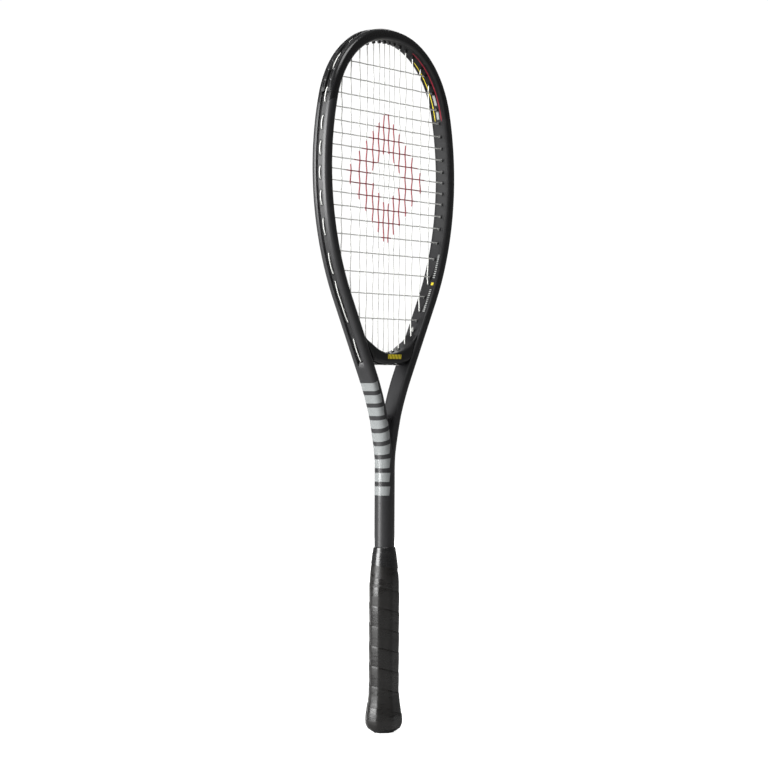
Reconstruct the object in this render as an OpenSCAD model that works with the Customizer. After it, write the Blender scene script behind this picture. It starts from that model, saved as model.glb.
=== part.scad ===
// Squash racket: one-piece tube frame with a moulded bridge, guard and grommet strips,
// two-piece stringing, and a handle built up from pallets, butt cap, grip and tape.
// The racket stands on its butt: +Z runs up the shaft, the string bed lies in the XZ plane,
// and the origin is the centre of the butt cap's end face.

/* [Hoop] */
// Height of the hoop's centre line at the tip
hoop_top = 680.2; // [660:0.1:690]
// Radius of the centre line across the tip
tip_r = 124; // [110:1:140]
// Radius of the centre line round each shoulder
shoulder_r = 90.8; // [86:0.1:95]
// Radius of the centre line down each side
side_r = 254.9; // [245:0.1:265]
// Thickness of the frame, seen from the front
beam_t = 10.5; // [9:0.1:12]
// Depth of the frame, from face to face
beam_d = 19.3; // [17:0.1:22]
// Corner radius of the frame's section
beam_corner = 3.8; // [2:0.1:4]
// Wall thickness of the moulded tube
wall = 1.2; // [0.8:0.1:1.6]

/* [Throat and shaft] */
// Outside diameter of the shaft
shaft_dia = 19.7; // [18:0.1:21]
// Radius of the outer blend from each arm into the shaft
blend_r = 195; // [150:1:210]
// Radius of the crotch where the arms part
crotch_r = 8; // [8:0.5:16]
// Lowest point of the bridge's upper, curved face
bridge_top = 370.3; // [366:0.1:372]
// Height of the bridge's lower face
bridge_bottom = 360; // [357:0.5:361]

/* [Stringing] */
// Diameter of the string
string_dia = 1.2; // [1.1:0.05:1.3]
// Distance from the middle to the first main string
first_main = 4.1; // [3.5:0.1:5]
// Height of the top cross string
first_cross = 649.7; // [645:0.1:652]
// Outside diameter of a grommet sleeve
sleeve_dia = 2.6; // [2.2:0.1:3]

/* [Handle] */
// Width of the grip across its wide faces
grip_w = 32; // [30:0.5:34]
// Depth of the grip from front to back
grip_d = 27.4; // [26:0.2:30]
// Thickness of the grip
grip_t = 1.8; // [1.2:0.1:2.2]
// Height of the grip's top edge, under the finishing tape
grip_top = 166; // [160:1:172]
// Height of the finishing tape's top edge
tape_top = 181; // [176:1:186]
// How much wider the butt flare is than the grip, as a factor
flare = 1.24; // [1.12:0.01:1.26]

/* [Hidden] */
$fn = 64;
eps = 0.01;

// Where the hoop's three arcs end, as the angle that its outward normal makes with +Z
tip_end = 10;
shoulder_end = 75;
arm_heading = 119.1;

// Gaps between neighbouring main strings, from the middle outwards
main_gaps = [8.5, 9.4, 10.6, 11.8, 14.3, 14.7];
// Gaps between neighbouring cross strings, from the tip down
cross_gaps = [16.5, 16, 13.5, 13, 12, 11.5, 12, 11, 11, 11, 12.5, 12.5, 14.5, 16.5, 18.5, 20.5, 24];

function running(first, gaps, sign, i) =
    i == 0 ? first : running(first, gaps, sign, i - 1) + sign * gaps[i - 1];
mains = [for (i = [0:len(main_gaps)]) running(first_main, main_gaps, 1, i)];
crosses = [for (i = [0:len(cross_gaps)]) running(first_cross, cross_gaps, -1, i)];

// Centres of the three arcs, as [x, z]
function normal(t) = [sin(t), cos(t)];
tip_c = [0, hoop_top - tip_r];
shoulder_c = tip_c + (tip_r - shoulder_r) * normal(tip_end);
side_c = shoulder_c + (shoulder_r - side_r) * normal(shoulder_end);

// The straight arm runs down from the end of the side arc, towards the shaft
arm_start = side_c + side_r * normal(arm_heading);
arm_dir = [cos(arm_heading), -sin(arm_heading)];
function arm_point(along) = arm_start + along * arm_dir;

// The blend's centre is beside the shaft; the arm's outer face and the shaft are both tangent to it
half = beam_t / 2;
shaft_x = shaft_dia / 2 - 0.3;
arm_lean = arm_heading - 90;
arm_out = arm_start + half * normal(arm_heading);
to_shaft = (arm_out[0] - shaft_x) / sin(arm_lean);
knee_z = arm_out[1] - to_shaft * cos(arm_lean);
tangent_len = blend_r * tan(arm_lean / 2);
blend_c = [shaft_x + blend_r, knee_z - tangent_len];
arm_len = to_shaft - tangent_len;

// Groove round the outside of the hoop, for the grommet strips and the string's outer runs
groove_w = 7;
groove_deep = 2.9;
groove_floor = half - groove_deep;
groove_end = 73;
groove_ramp = 4;
strip_t = 1;
sleeve_proud = 1;
hole_r = sleeve_dia / 2 + 0.05;
bore_r = string_dia / 2 + 0.15;
guard_t = 0.5;
guard_w = 11;
guard_groove = 3.4;
guard_end = 74;
shaft_end = 6;

// ---- Where the strings pass through the frame: each entry is [centre-line point, heading] ----

inner_tip = tip_c[0] + (tip_r - half) * sin(tip_end);
inner_shoulder_z = shoulder_c[1] + (shoulder_r - half) * cos(shoulder_end);
inner_side_z = side_c[1] + (side_r - half) * cos(arm_heading);
inner_side_x = side_c[0] + (side_r - half) * sin(arm_heading);

function on_arc(c, r, t) = [c + r * normal(t), t];
function on_arm(along) = [arm_point(along), arm_heading];
function top_hole(x) =
    x < inner_tip ? on_arc(tip_c, tip_r, asin(x / (tip_r - half)))
                  : on_arc(shoulder_c, shoulder_r, asin((x - shoulder_c[0]) / (shoulder_r - half)));
function side_hole(z) =
    z > inner_shoulder_z ? on_arc(shoulder_c, shoulder_r, acos((z - shoulder_c[1]) / (shoulder_r - half)))
    : z > inner_side_z ? on_arc(side_c, side_r, acos((z - side_c[1]) / (side_r - half)))
    : on_arm((inner_side_z - z) / cos(arm_lean));
function low_hole(x) =
    x > inner_side_x ? on_arc(side_c, side_r, 180 - asin((x - side_c[0]) / (side_r - half)))
                     : on_arm((inner_side_x - x) / sin(arm_lean));

// The three mains nearest the middle end in the bridge, the others in the arms
bridge_mains = [for (i = [0:2]) mains[i]];
arm_mains = [for (i = [3:len(mains) - 1]) mains[i]];
guard_crosses = [for (z = crosses) if (side_hole(z)[1] < guard_end) z];
strip_crosses = [for (z = crosses) if (side_hole(z)[1] >= guard_end) z];
guard_holes = concat([for (x = mains) top_hole(x)], [for (z = guard_crosses) side_hole(z)]);
strip_holes = concat([for (z = strip_crosses) side_hole(z)], [for (x = arm_mains) low_hole(x)]);

// ---- Sweeps ----

// Stations down one side, each as [centre-line point, heading], close enough for smooth curves
function arc_stations(c, r, from, to, steps) =
    [for (i = [0:steps - 1]) let (t = from + (to - from) * i / steps) [c + r * normal(t), t]];
function arm_station(along) = [arm_point(along), arm_heading];
hoop_stations = concat(arc_stations(tip_c, tip_r, 0, tip_end, 4),
                       arc_stations(shoulder_c, shoulder_r, tip_end, shoulder_end, 22),
                       arc_stations(side_c, side_r, shoulder_end, arm_heading, 16),
                       [arm_station(0)]);
blend_steps = 10;
blend_stations = [for (i = [1:blend_steps])
    let (lean = arm_lean * (1 - i / blend_steps), r = blend_r + half)
    [blend_c + r * [-cos(lean), sin(lean)], 90 + lean]];
strip_stations = concat([for (st = hoop_stations) if (st[1] > guard_end + 0.5) st],
                        [arm_station(groove_end - groove_ramp)]);

// A closed solid skinned over rings that all have the same number of points
module skin(rings) {
    n = len(rings[0]);
    last = (len(rings) - 1) * n;
    polyhedron(
        [for (r = rings) each r],
        concat([[for (k = [0:n - 1]) k]],
               [for (i = [0:len(rings) - 2], k = [0:n - 1])
                   let (here = i * n, next = here + n, up = (k + 1) % n)
                   [here + k, next + k, next + up, here + up]],
               [[for (k = [n - 1:-1:0]) last + k]]));
}

// Turns a section's [outwards, depth] points into a ring in space at a station
function at_station(st, section) =
    [for (p = section) [st[0][0] + p[0] * sin(st[1]), -p[1], st[0][1] + p[0] * cos(st[1])]];

// A quarter circle as four points
function corner(x, y, r, from) = [for (i = [0:3]) [x + r * cos(from + 30 * i), y + r * sin(from + 30 * i)]];

// The frame's section: a rounded rectangle
beam_section =
    let (x = half - beam_corner, y = beam_d / 2 - beam_corner)
    concat(corner(x, y, beam_corner, 0), corner(-x, y, beam_corner, 90),
           corner(-x, -y, beam_corner, 180), corner(x, -y, beam_corner, 270));

// A plain rectangle between two distances outwards
function box_section(from, to, depth) =
    [[to, -depth / 2], [to, depth / 2], [from, depth / 2], [from, -depth / 2]];

module both_sides() {
    children();
    mirror([1, 0, 0]) children();
}

// Cylinders along the string holes of one side, from below the centre line to above it
module at_holes(holes) {
    for (h = holes)
        translate([h[0][0], 0, h[0][1]]) rotate([0, h[1], 0]) children();
}

// ---- Frame ----

// One side of the frame: half hoop, arm, and the bend into the shaft
module frame_side() {
    intersection() {
        skin([for (st = concat(hoop_stations, [arm_station(arm_len)], blend_stations))
            at_station(st, beam_section)]);
        translate([0, -50, 0]) cube([200, 100, 800]);
    }
}

// The groove round the outside of one side, from past the tip to its shallow end on the arm
module side_groove() {
    section = box_section(groove_floor, half + 2, groove_w);
    skin(concat([at_station([[-1, hoop_top], 0], section)],
                [for (i = [1:len(hoop_stations) - 1]) at_station(hoop_stations[i], section)],
                [at_station(arm_station(groove_end - groove_ramp), section),
                 at_station(arm_station(groove_end), box_section(half, half + 2, groove_w))]));
}

// The hollow inside one side of the tube, clear of the groove
module side_hollow() {
    section = box_section(-half + wall, groove_floor - wall, beam_d - 2 * wall - 2);
    skin(concat([at_station([[-1, hoop_top], 0], section)],
                [for (i = [1:len(hoop_stations) - 1]) at_station(hoop_stations[i], section)],
                [at_station(arm_station(arm_len - 2), section)]));
}

// The web between the arms, ending in a round crotch that blends into both of them
module throat_web() {
    inner_r = blend_r + beam_t;
    rise = sqrt(pow(inner_r + crotch_r, 2) - pow(blend_c[0], 2));
    crotch_c = blend_c[1] + rise;
    web_top = crotch_c - crotch_r * rise / (inner_r + crotch_r);
    foot = 4;
    head = crotch_r + 3;
    rotate([90, 0, 0])
        linear_extrude(beam_d - 1.6, center = true)
            difference() {
                polygon([[-foot, blend_c[1]], [foot, blend_c[1]], [head, web_top], [-head, web_top]]);
                translate([0, crotch_c]) circle(crotch_r + 0.4, $fn = 90);
            }
}

module frame_solid() {
    both_sides() frame_side();
    throat_web();
    translate([0, 0, shaft_end]) cylinder(d = shaft_dia, h = blend_c[1] - shaft_end + 12);
}

module frame_tube() color([0.19, 0.19, 0.20])
    difference() {
        frame_solid();
        translate([0, 0, shaft_end - eps]) cylinder(d = shaft_dia - 2 * wall, h = blend_c[1] - shaft_end);
        both_sides() {
            side_hollow();
            side_groove();
            at_holes(concat(guard_holes, strip_holes))
                translate([0, 0, -half - 1]) cylinder(r = hole_r, h = beam_t, $fn = 24);
        }
    }

// ---- Bridge, a crescent between the arms ----

arm_in = arm_start - half * normal(arm_heading);
function arm_inner_x(z) = arm_in[0] - (arm_in[1] - z) * tan(arm_lean);
reach = arm_inner_x(bridge_top) * cos(arm_lean);
bridge_r = reach / (1 - sin(arm_lean));
bridge_ends = 388;

module bridge_outline() {
    low = arm_inner_x(bridge_bottom) + 3;
    high = arm_inner_x(bridge_ends) + 3;
    difference() {
        polygon([[-low, bridge_bottom], [low, bridge_bottom], [high, bridge_ends], [-high, bridge_ends]]);
        translate([0, bridge_top + bridge_r]) circle(bridge_r, $fn = 180);
    }
}

module throat_bridge() color([0.10, 0.10, 0.11])
    difference() {
        rotate([90, 0, 0]) linear_extrude(beam_d - 1, center = true) bridge_outline();
        both_sides() {
            skin([for (along = [-10, arm_len]) at_station(arm_station(along), beam_section)]);
            for (x = bridge_mains)
                translate([x, 0, bridge_bottom - 1]) cylinder(r = hole_r, h = 40, $fn = 24);
            translate([mains[3], 0, low_hole(mains[3])[0][1]]) cylinder(r = hole_r, h = 40, $fn = 24);
            at_holes([low_hole(mains[3])])
                translate([0, 0, -half - 4]) cylinder(r = hole_r, h = 10, $fn = 24);
        }
    }

// ---- Guard and grommet strips ----

module sleeves(holes, reach_out) {
    at_holes(holes)
        translate([0, 0, -half - sleeve_proud])
            cylinder(r = sleeve_dia / 2, h = half + sleeve_proud + reach_out, $fn = 24);
}

module sleeve_bores(holes) {
    at_holes(holes)
        translate([0, 0, -half - 5]) cylinder(r = bore_r, h = 2 * half + 10, $fn = 24);
}

module guard_half() {
    difference() {
        union() {
            guard_arc(tip_c, tip_r, 0, tip_end + 0.05);
            guard_arc(shoulder_c, shoulder_r, tip_end, guard_end);
            sleeves(guard_holes, groove_floor + 0.5);
        }
        sleeve_bores(guard_holes);
    }
}

module guard_arc(c, r, from, to) {
    translate([c[0], 0, c[1]])
        rotate([90, 0, 0])
            rotate_extrude(start = 90 - to, angle = to - from, $fn = 360)
                translate([r, 0]) guard_profile();
}

module guard_profile() {
    difference() {
        union() {
            translate([groove_floor + 0.05, -groove_w / 2 + 0.05]) square([groove_deep, groove_w - 0.1]);
            translate([half, -guard_w / 2]) square([guard_t, guard_w]);
        }
        translate([groove_floor + strip_t, -guard_groove / 2]) square([groove_deep + 1, guard_groove]);
    }
}

module bumper_guard() color([0.05, 0.05, 0.05]) both_sides() guard_half();

module grommet_strip() {
    section = box_section(groove_floor + 0.05, groove_floor + strip_t, groove_w - 0.1);
    difference() {
        union() {
            skin([for (st = strip_stations) at_station(st, section)]);
            sleeves(strip_holes, groove_floor + 0.5);
        }
        sleeve_bores(strip_holes);
    }
}

module grommet_strip_right() color([0.04, 0.04, 0.04]) grommet_strip();
module grommet_strip_left() color([0.04, 0.04, 0.04]) mirror([1, 0, 0]) grommet_strip();

module bridge_grommet_strip() color([0.04, 0.04, 0.04]) {
    strip_half = mains[2] + 3;
    difference() {
        union() {
            translate([-strip_half, -3, bridge_bottom - strip_t - 0.05]) cube([2 * strip_half, 6, strip_t]);
            both_sides()
                for (x = bridge_mains)
                    translate([x, 0, bridge_bottom - strip_t])
                        cylinder(d = sleeve_dia, h = bridge_face(x) + sleeve_proud - bridge_bottom + strip_t,
                                 $fn = 24);
        }
        both_sides()
            for (x = bridge_mains)
                translate([x, 0, bridge_bottom - 5]) cylinder(r = bore_r, h = 40, $fn = 24);
    }
}

// Height of the bridge's curved face at a distance from the middle
function bridge_face(x) = bridge_top + bridge_r - sqrt(bridge_r * bridge_r - x * x);

// ---- Strings: each is one cord along its whole route ----

string_r = string_dia / 2;
run_at = groove_floor + strip_t + 0.15 + string_r;
under_bridge = bridge_bottom - strip_t - 0.2 - string_r;

// A point on a hole's axis, at a distance outwards from the frame's centre line
function hole_point(h, out, y) = [h[0][0] + out * sin(h[1]), y, h[0][1] + out * cos(h[1])];
function flip(p, side) = [side * p[0], p[1], p[2]];

// The string leaves its own straight run at the sleeve's mouth and comes out in the groove
function through(h, side, y) =
    [flip(hole_point(h, -half - sleeve_proud, y), side), flip(hole_point(h, run_at, y), side)];
function main_side(i) = i < len(mains) ? -1 : 1;
function main_x(i) = i < len(mains) ? mains[len(mains) - 1 - i] : mains[i - len(mains)];
function main_top(i) = through(top_hole(main_x(i)), main_side(i), main_y);
function main_low(i) =
    main_x(i) > bridge_mains[2]
    ? through(low_hole(main_x(i)), main_side(i), main_y)
    : [[main_side(i) * main_x(i), main_y, bridge_face(main_x(i)) + sleeve_proud],
       [main_side(i) * main_x(i), main_y, under_bridge]];
function turned(pair) = [pair[1], pair[0]];

// Mains lie a little in front of the middle plane and crosses a little behind it
main_y = -0.65;
cross_y = 0.65;

// Down the first main, up the next, and so on across the bed
main_route = [for (i = [0:2 * len(mains) - 1])
    for (p = i % 2 == 0 ? concat(turned(main_top(i)), main_low(i))
                        : concat(turned(main_low(i)), main_top(i))) p];
// From the right end of the top cross to its left end, back along the next, and so on down the bed
cross_route = [for (i = [0:len(crosses) - 1])
    for (p = i % 2 == 0 ? concat(turned(through(side_hole(crosses[i]), 1, cross_y)),
                                 through(side_hole(crosses[i]), -1, cross_y))
                        : concat(turned(through(side_hole(crosses[i]), -1, cross_y)),
                                 through(side_hole(crosses[i]), 1, cross_y))) p];

function unit(v) = v / norm(v);
function tangent(p, i) =
    i == 0 ? unit(p[1] - p[0])
    : i == len(p) - 1 ? unit(p[i] - p[i - 1])
    : unit(unit(p[i] - p[i - 1]) + unit(p[i + 1] - p[i]));
// Mitred rings: each ring's plane halves the bend, so the cord keeps its diameter
function ring(p, i, sides) =
    let (t = tangent(p, i),
         a = [0, 1, 0],
         b = unit(cross(t, a)),
         c = i == 0 || i == len(p) - 1 ? 1 : max(0.45, t * unit(p[i + 1] - p[i])))
    [for (k = [0:sides - 1]) p[i] + string_r * (cos(360 * k / sides) * a + sin(360 * k / sides) * b / c)];

module cord(route) {
    skin([for (i = [0:len(route) - 1]) ring(route, i, 8)]);
}

module main_string() color([0.93, 0.93, 0.90]) cord(main_route);
module cross_string() color([0.93, 0.93, 0.90]) cord(cross_route);

// ---- Handle ----

bevel = 0.29;
function octagon(w, d) =
    let (x = w / 2, y = d / 2, cx = bevel * w, cy = 0.95 * bevel * w)
    [[x, y - cy], [x - cx, y], [-x + cx, y], [-x, y - cy],
     [-x, -y + cy], [-x + cx, -y], [x - cx, -y], [x, -y + cy]];
core_w = grip_w - 2 * grip_t;
core_d = grip_d - 2 * grip_t;
cap_t = 1;
cap_top = 30;
cap_floor = 4;
flare_low = 10;
flare_high = 33;
cone_base = 100;
cone_rate = 0.105;
tape_t = 0.35;

// The cone that thins the top of the handle down to the shaft
module taper(extra) {
    r_top = shaft_dia / 2 + 0.6 + extra;
    cylinder(r1 = r_top + (tape_top - cone_base) * cone_rate, r2 = r_top, h = tape_top - cone_base);
}

module handle_core(w, d, from, to, extra) {
    intersection() {
        translate([0, 0, from]) linear_extrude(to - from) polygon(octagon(w, d));
        union() {
            translate([0, 0, cone_base]) taper(extra);
            cylinder(d = 60, h = cone_base);
        }
    }
}

module staple_slots() {
    for (side = [-1, 1])
        scale([1, side, 1]) translate([0, core_d / 2 + cap_t, 20]) staple(10, 5, 0.1);
}

// A wire staple, its crown lying on a face that looks along +Y
module staple(width, leg, slack) {
    wire = 0.8 + slack;
    translate([-width / 2 - slack / 2, -wire * 0.6, -wire / 2]) cube([width + slack, wire, wire]);
    for (x = [-1, 1])
        translate([x * (width / 2 - 0.4) - wire / 2, -leg - slack, -wire / 2]) cube([wire, leg + slack, wire]);
}

module pallet() {
    difference() {
        intersection() {
            handle_core(core_w, core_d, cap_floor + 0.1, tape_top - 12, -grip_t);
            translate([0.05, -30, 0]) cube([30, 60, 200]);
        }
        cylinder(d = shaft_dia + 0.1, h = 200);
        staple_slots();
        grip_staple_at(0.1);
    }
}

module handle_pallet_right() color([0.82, 0.80, 0.72]) pallet();
module handle_pallet_left() color([0.82, 0.80, 0.72]) mirror([1, 0, 0]) pallet();

module flare_body(w, d, from) {
    hull() {
        translate([0, 0, from + 3]) linear_extrude(flare_low - from) polygon(octagon(w * flare, d * flare));
        translate([0, 0, flare_high]) linear_extrude(1) polygon(octagon(w, d));
        translate([0, 0, from]) linear_extrude(1) polygon(octagon(w * flare - 5, d * flare - 5));
    }
}

module butt_cap() color([0.07, 0.07, 0.07])
    difference() {
        intersection() {
            flare_body(core_w + 2, core_d + 2, 0);
            cylinder(d = 80, h = cap_top);
        }
        translate([0, 0, cap_floor]) linear_extrude(40) polygon(octagon(core_w + 0.1, core_d + 0.1));
        translate([0, 0, -eps]) cylinder(d = 18.2, h = 0.9);
        staple_slots();
        grip_staple_at(0.1);
    }

module butt_cap_staples() color([0.75, 0.76, 0.78])
    intersection() {
        for (side = [-1, 1])
            scale([1, side, 1]) translate([0, core_d / 2 + cap_t, 20]) staple(10, 5, 0);
        cylinder(d = 80, h = cap_top);
    }

// One staple pins the start of the grip to the cap, on the +X face
module grip_staple_at(slack) {
    rotate(-90) translate([0, core_w / 2 + 1.4, 25]) staple(6, 4.5, slack);
}

module grip_staple() color([0.75, 0.76, 0.78]) grip_staple_at(0);

module butt_badge() color([0.45, 0.46, 0.47]) translate([0, 0, 0.3]) cylinder(d = 18, h = 0.6);

module grip_wrap() color([0.08, 0.08, 0.085])
    difference() {
        union() {
            handle_core(grip_w, grip_d, flare_low, grip_top, 0);
            intersection() {
                flare_body(grip_w, grip_d, 2);
                translate([-40, -40, 4]) cube([80, 80, 40]);
            }
        }
        handle_core(core_w, core_d, 2, 220, -grip_t);
        cylinder(d = shaft_dia + 0.1, h = 220);
        intersection() {
            flare_body(core_w + 2, core_d + 2, 0);
            cylinder(d = 80, h = cap_top);
        }
        staple_slots();
        grip_staple_at(0.1);
    }

module finishing_tape() color([0.03, 0.03, 0.03])
    difference() {
        intersection() {
            translate([0, 0, cone_base]) taper(tape_t);
            translate([0, 0, tape_top - 19]) cylinder(d = 60, h = 19);
        }
        difference() {
            translate([0, 0, cone_base - eps]) taper(0.02);
            translate([0, 0, grip_top]) cylinder(d = 60, h = 40);
        }
        cylinder(d = shaft_dia + 0.1, h = 220);
    }

frame_tube();
throat_bridge();
bumper_guard();
grommet_strip_left();
grommet_strip_right();
bridge_grommet_strip();
main_string();
cross_string();
handle_pallet_left();
handle_pallet_right();
butt_cap();
butt_cap_staples();
butt_badge();
grip_wrap();
grip_staple();
finishing_tape();
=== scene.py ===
import math
import random

import bmesh
import bpy
from mathutils import Matrix, Vector


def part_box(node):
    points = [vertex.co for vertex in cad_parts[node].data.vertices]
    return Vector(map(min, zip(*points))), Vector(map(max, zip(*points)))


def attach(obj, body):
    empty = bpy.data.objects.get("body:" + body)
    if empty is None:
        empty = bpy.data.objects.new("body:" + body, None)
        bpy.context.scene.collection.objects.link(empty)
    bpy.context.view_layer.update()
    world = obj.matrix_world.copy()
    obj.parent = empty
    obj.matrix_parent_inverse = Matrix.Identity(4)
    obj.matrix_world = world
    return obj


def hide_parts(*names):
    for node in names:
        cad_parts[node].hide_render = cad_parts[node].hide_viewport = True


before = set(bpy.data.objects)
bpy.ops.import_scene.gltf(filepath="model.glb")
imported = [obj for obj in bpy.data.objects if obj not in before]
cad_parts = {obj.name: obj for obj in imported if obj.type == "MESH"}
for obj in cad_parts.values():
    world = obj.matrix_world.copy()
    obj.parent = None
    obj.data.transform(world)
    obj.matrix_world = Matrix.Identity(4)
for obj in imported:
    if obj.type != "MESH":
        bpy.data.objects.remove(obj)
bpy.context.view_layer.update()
MM = 0.001


def box_mm(node):
    low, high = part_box(node)
    return Vector(low) / MM, Vector(high) / MM


# ---------------------------------------------------------------- sizes, in millimetres

BEAM_T = 10.5
BEAM_D = 19.3
HALF = BEAM_T / 2
GUARD_T = 0.5
BEAM_CORNER = 3.8
SHAFT_R = 9.85

TIP_R, SHOULDER_R, SIDE_R = 124.0, 90.8, 254.9
TIP_END, SHOULDER_END, ARM_HEADING = 10.0, 75.0, 119.1
ARM_LEAN = ARM_HEADING - 90
BLEND_R = 195.0
CROTCH_R = 8.0
HOOP_TOP = box_mm("bumper_guard")[1].z - GUARD_T - HALF
SHAFT_END = box_mm("frame_tube")[0].z

GROOVE_W, GROOVE_DEEP = 7.0, 2.9
GROOVE_FLOOR = HALF - GROOVE_DEEP
GROOVE_END, GROOVE_RAMP = 73.0, 5.0
GUARD_END = 74.0

STRING_R = 0.6
WEAVE = 0.47
SLEEVE_R = 1.8
STRIP_T = 1.0
MAIN_GAPS = [8.5, 9.4, 10.6, 11.8, 14.3, 14.7]
CROSS_GAPS = [16.5, 16, 13.5, 13, 12, 11.5, 12, 11, 11, 11, 12.5, 12.5, 14.5, 16.5, 18.5, 20.5, 24]
MAINS = [4.1 + sum(MAIN_GAPS[:i]) for i in range(7)]
CROSSES = [649.7 - sum(CROSS_GAPS[:i]) for i in range(18)]

BRIDGE_BOTTOM = box_mm("throat_bridge")[0].z
BRIDGE_TOP = 370.3
BRIDGE_ENDS = 388.0

GRIP_W, GRIP_D = 32.0, 27.4
TAPE_LOW, TAPE_HIGH = (corner.z for corner in box_mm("finishing_tape"))


# ---------------------------------------------------------------- small helpers

def lerp(a, b, t):
    return a + (b - a) * t


def smooth(t):
    t = min(1.0, max(0.0, t))
    return t * t * (3 - 2 * t)


def between(low, high, value):
    return smooth((value - low) / (high - low))


def mesh_piece(name, verts, faces, material, node, slot, uvs=None, merge=True, smooth_angle=40):
    """Makes a piece from points in millimetres, puts it on the root body and hides the CAD part that it
    stands for.
    """
    mesh = bpy.data.meshes.new(name)
    mesh.from_pydata([Vector(v) * MM for v in verts], [], faces)
    if uvs:
        layer = mesh.uv_layers.new(name="UVMap")
        flat = [uv for face in uvs for uv in face]
        for loop, uv in zip(layer.data, flat):
            loop.uv = uv
    bm = bmesh.new()
    bm.from_mesh(mesh)
    if merge:
        bmesh.ops.remove_doubles(bm, verts=bm.verts, dist=2e-6)
        bmesh.ops.dissolve_degenerate(bm, edges=bm.edges, dist=1e-6)
        open_edges = [e for e in bm.edges if e.is_boundary]
        if open_edges:
            bmesh.ops.holes_fill(bm, edges=open_edges, sides=0)
    bmesh.ops.recalc_face_normals(bm, faces=bm.faces)
    for face in bm.faces:
        face.smooth = True
    for edge in bm.edges:
        if len(edge.link_faces) == 2 and edge.calc_face_angle(0) > math.radians(smooth_angle):
            edge.smooth = False
    bm.to_mesh(mesh)
    bm.free()
    mesh.materials.append(material)
    piece = bpy.data.objects.new(name, mesh)
    bpy.context.scene.collection.objects.link(piece)
    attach(piece, "root")
    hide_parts(node)
    return piece


def ring_faces(rings):
    """Quads between rings that all have the same number of points."""
    n = len(rings[0])
    faces = []
    for i in range(len(rings) - 1):
        for k in range(n):
            up = (k + 1) % n
            faces.append((i * n + k, (i + 1) * n + k, (i + 1) * n + up, i * n + up))
    return faces


def round_ring(columns, z, radius_at):
    """A level ring of points at height z, with a radius that depends on the angle."""
    ring = []
    for k in range(columns):
        angle = 2 * math.pi * k / columns
        r = radius_at(angle)
        ring.append(Vector((r * math.cos(angle), r * math.sin(angle), z)))
    return ring


class Parts:
    """Collects several tubes and lofts into one mesh."""

    def __init__(self):
        self.verts = []
        self.faces = []

    def loft(self, rings):
        """A skin through rings, closed at both ends."""
        base = len(self.verts)
        n = len(rings[0])
        self.verts += [p for ring in rings for p in ring]
        self.faces += [tuple(base + i for i in face) for face in ring_faces(rings)]
        self.faces.append(tuple(base + k for k in range(n)))
        last = base + (len(rings) - 1) * n
        self.faces.append(tuple(last + k for k in reversed(range(n))))

    def tube(self, points, radius, sides=10):
        """A round cord along points, with rings that stay square to the path."""
        path = [Vector(p) for p in points]
        rings = []
        side = None
        for i, p in enumerate(path):
            ahead = path[min(i + 1, len(path) - 1)] - path[max(i - 1, 0)]
            along = ahead.normalized()
            if side is None:
                side = along.cross(Vector((0.3, 1.0, 0.2))).normalized()
            side = (side - along * side.dot(along)).normalized()
            other = along.cross(side)
            r = radius(i) if callable(radius) else radius
            turn = [2 * math.pi * k / sides for k in range(sides)]
            rings.append([p + side * r * math.cos(a) + other * r * math.sin(a) for a in turn])
        self.loft(rings)


def loft_piece(rings, name, *labels, **options):
    """A piece made of one loft."""
    parts = Parts()
    parts.loft(rings)
    return mesh_piece(name, parts.verts, parts.faces, *labels, **options)


# ---------------------------------------------------------------- the frame's outline

def normal(heading):
    t = math.radians(heading)
    return Vector((math.sin(t), math.cos(t)))


TIP_C = Vector((0, HOOP_TOP - TIP_R))
SHOULDER_C = TIP_C + (TIP_R - SHOULDER_R) * normal(TIP_END)
SIDE_C = SHOULDER_C + (SHOULDER_R - SIDE_R) * normal(SHOULDER_END)
ARM_START = SIDE_C + SIDE_R * normal(ARM_HEADING)
ARM_DIR = Vector((math.cos(math.radians(ARM_HEADING)), -math.sin(math.radians(ARM_HEADING))))

SHAFT_X = SHAFT_R - 0.3
ARM_OUT = ARM_START + HALF * normal(ARM_HEADING)
TO_SHAFT = (ARM_OUT.x - SHAFT_X) / math.sin(math.radians(ARM_LEAN))
TANGENT_LEN = BLEND_R * math.tan(math.radians(ARM_LEAN / 2))
ARM_LEN = TO_SHAFT - TANGENT_LEN
KNEE_Z = ARM_OUT.y - TO_SHAFT * math.cos(math.radians(ARM_LEAN))
BLEND_C = Vector((SHAFT_X + BLEND_R, KNEE_Z - TANGENT_LEN))

INNER_R = BLEND_R + BEAM_T
CROTCH_RISE = math.sqrt((INNER_R + CROTCH_R) ** 2 - BLEND_C.x ** 2)
CROTCH_C = Vector((0, BLEND_C.y + CROTCH_RISE))
CROTCH_LEAN = math.degrees(math.asin(CROTCH_RISE / (INNER_R + CROTCH_R)))
WEB_T = 1.2

TIP_LEN = TIP_R * math.radians(TIP_END)
SHOULDER_LEN = SHOULDER_R * math.radians(SHOULDER_END - TIP_END)
SIDE_LEN = SIDE_R * math.radians(ARM_HEADING - SHOULDER_END)
HOOP_LEN = TIP_LEN + SHOULDER_LEN + SIDE_LEN


def hoop_at(along):
    """Centre-line point (x, z) and heading at a distance along the hoop from the tip."""
    if along < TIP_LEN:
        t = math.degrees(along / TIP_R)
        return TIP_C + TIP_R * normal(t), t
    if along < TIP_LEN + SHOULDER_LEN:
        t = TIP_END + math.degrees((along - TIP_LEN) / SHOULDER_R)
        return SHOULDER_C + SHOULDER_R * normal(t), t
    if along < HOOP_LEN:
        t = SHOULDER_END + math.degrees((along - TIP_LEN - SHOULDER_LEN) / SIDE_R)
        return SIDE_C + SIDE_R * normal(t), t
    return ARM_START + (along - HOOP_LEN) * ARM_DIR, ARM_HEADING


def hoop_point(along, out, y, side=1):
    p, t = hoop_at(along)
    p = p + out * normal(t)
    return Vector((side * p.x, y, p.y))


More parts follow.
